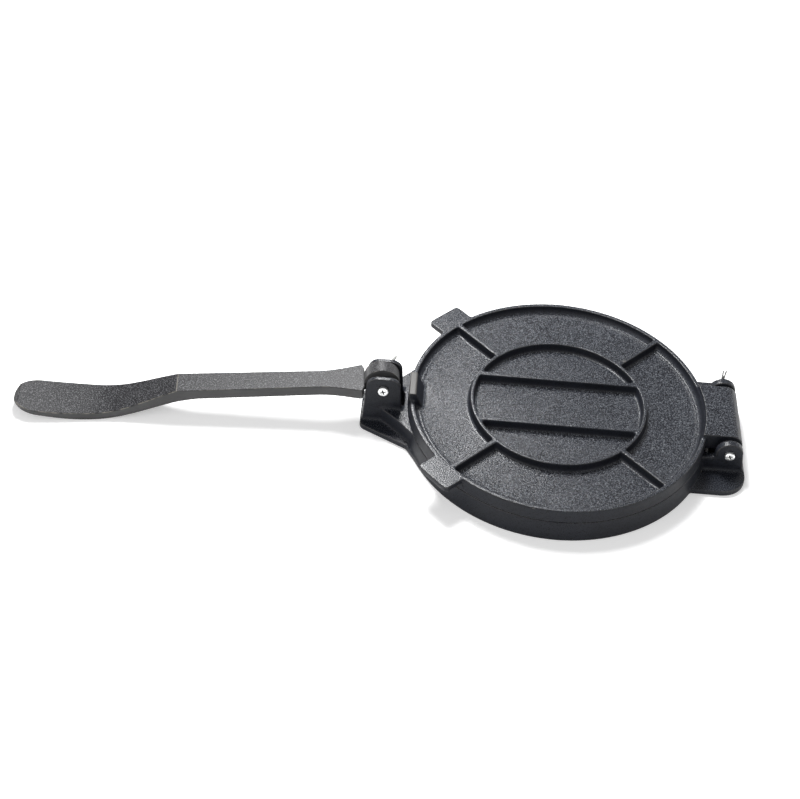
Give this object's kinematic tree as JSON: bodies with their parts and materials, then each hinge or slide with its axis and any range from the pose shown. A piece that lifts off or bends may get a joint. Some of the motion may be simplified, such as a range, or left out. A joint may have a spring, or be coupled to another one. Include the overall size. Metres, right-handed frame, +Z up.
{
  "type": "tortilla press",
  "caption": "Cast iron tortilla press with a round base, a hinged ribbed top plate and a long paddle-ended lever that swings over to press the plates together.",
  "frame": {"origin": "centre of the round base, on the plane of the table that the base rests on", "axes": "+X towards the hinge, -X towards the lever, +Y along both pins away from their heads, +Z up"},
  "size_m": [0.5144, 0.2164, 0.0445],
  "materials": {
    "cast_iron": "as-cast, seasoned, pebbled",
    "lever_iron": "as-cast, matte, fine grain",
    "zinc_steel": "bright zinc plate"
  },
  "bodies": {
    "base": {"base_plate": "cast_iron", "hinge_pin": "zinc_steel", "lever_pin": "zinc_steel", "hinge_cotter": "zinc_steel", "lever_cotter": "zinc_steel"},
    "upper": {"top_plate": "cast_iron"},
    "handle": {"lever": "lever_iron"}
  },
  "joints": [
    {"name": "plate_hinge", "type": "hinge", "parent": "base", "child": "upper", "pos_m": [0.1186, 0, 0.019], "axis": [0, 1, 0], "range_deg": [0, 122]},
    {"name": "lever_pivot", "type": "hinge", "parent": "base", "child": "handle", "pos_m": [-0.1232, 0, 0.0321], "axis": [0, 1, 0], "range_deg": [0, 178.5]}
  ]
}
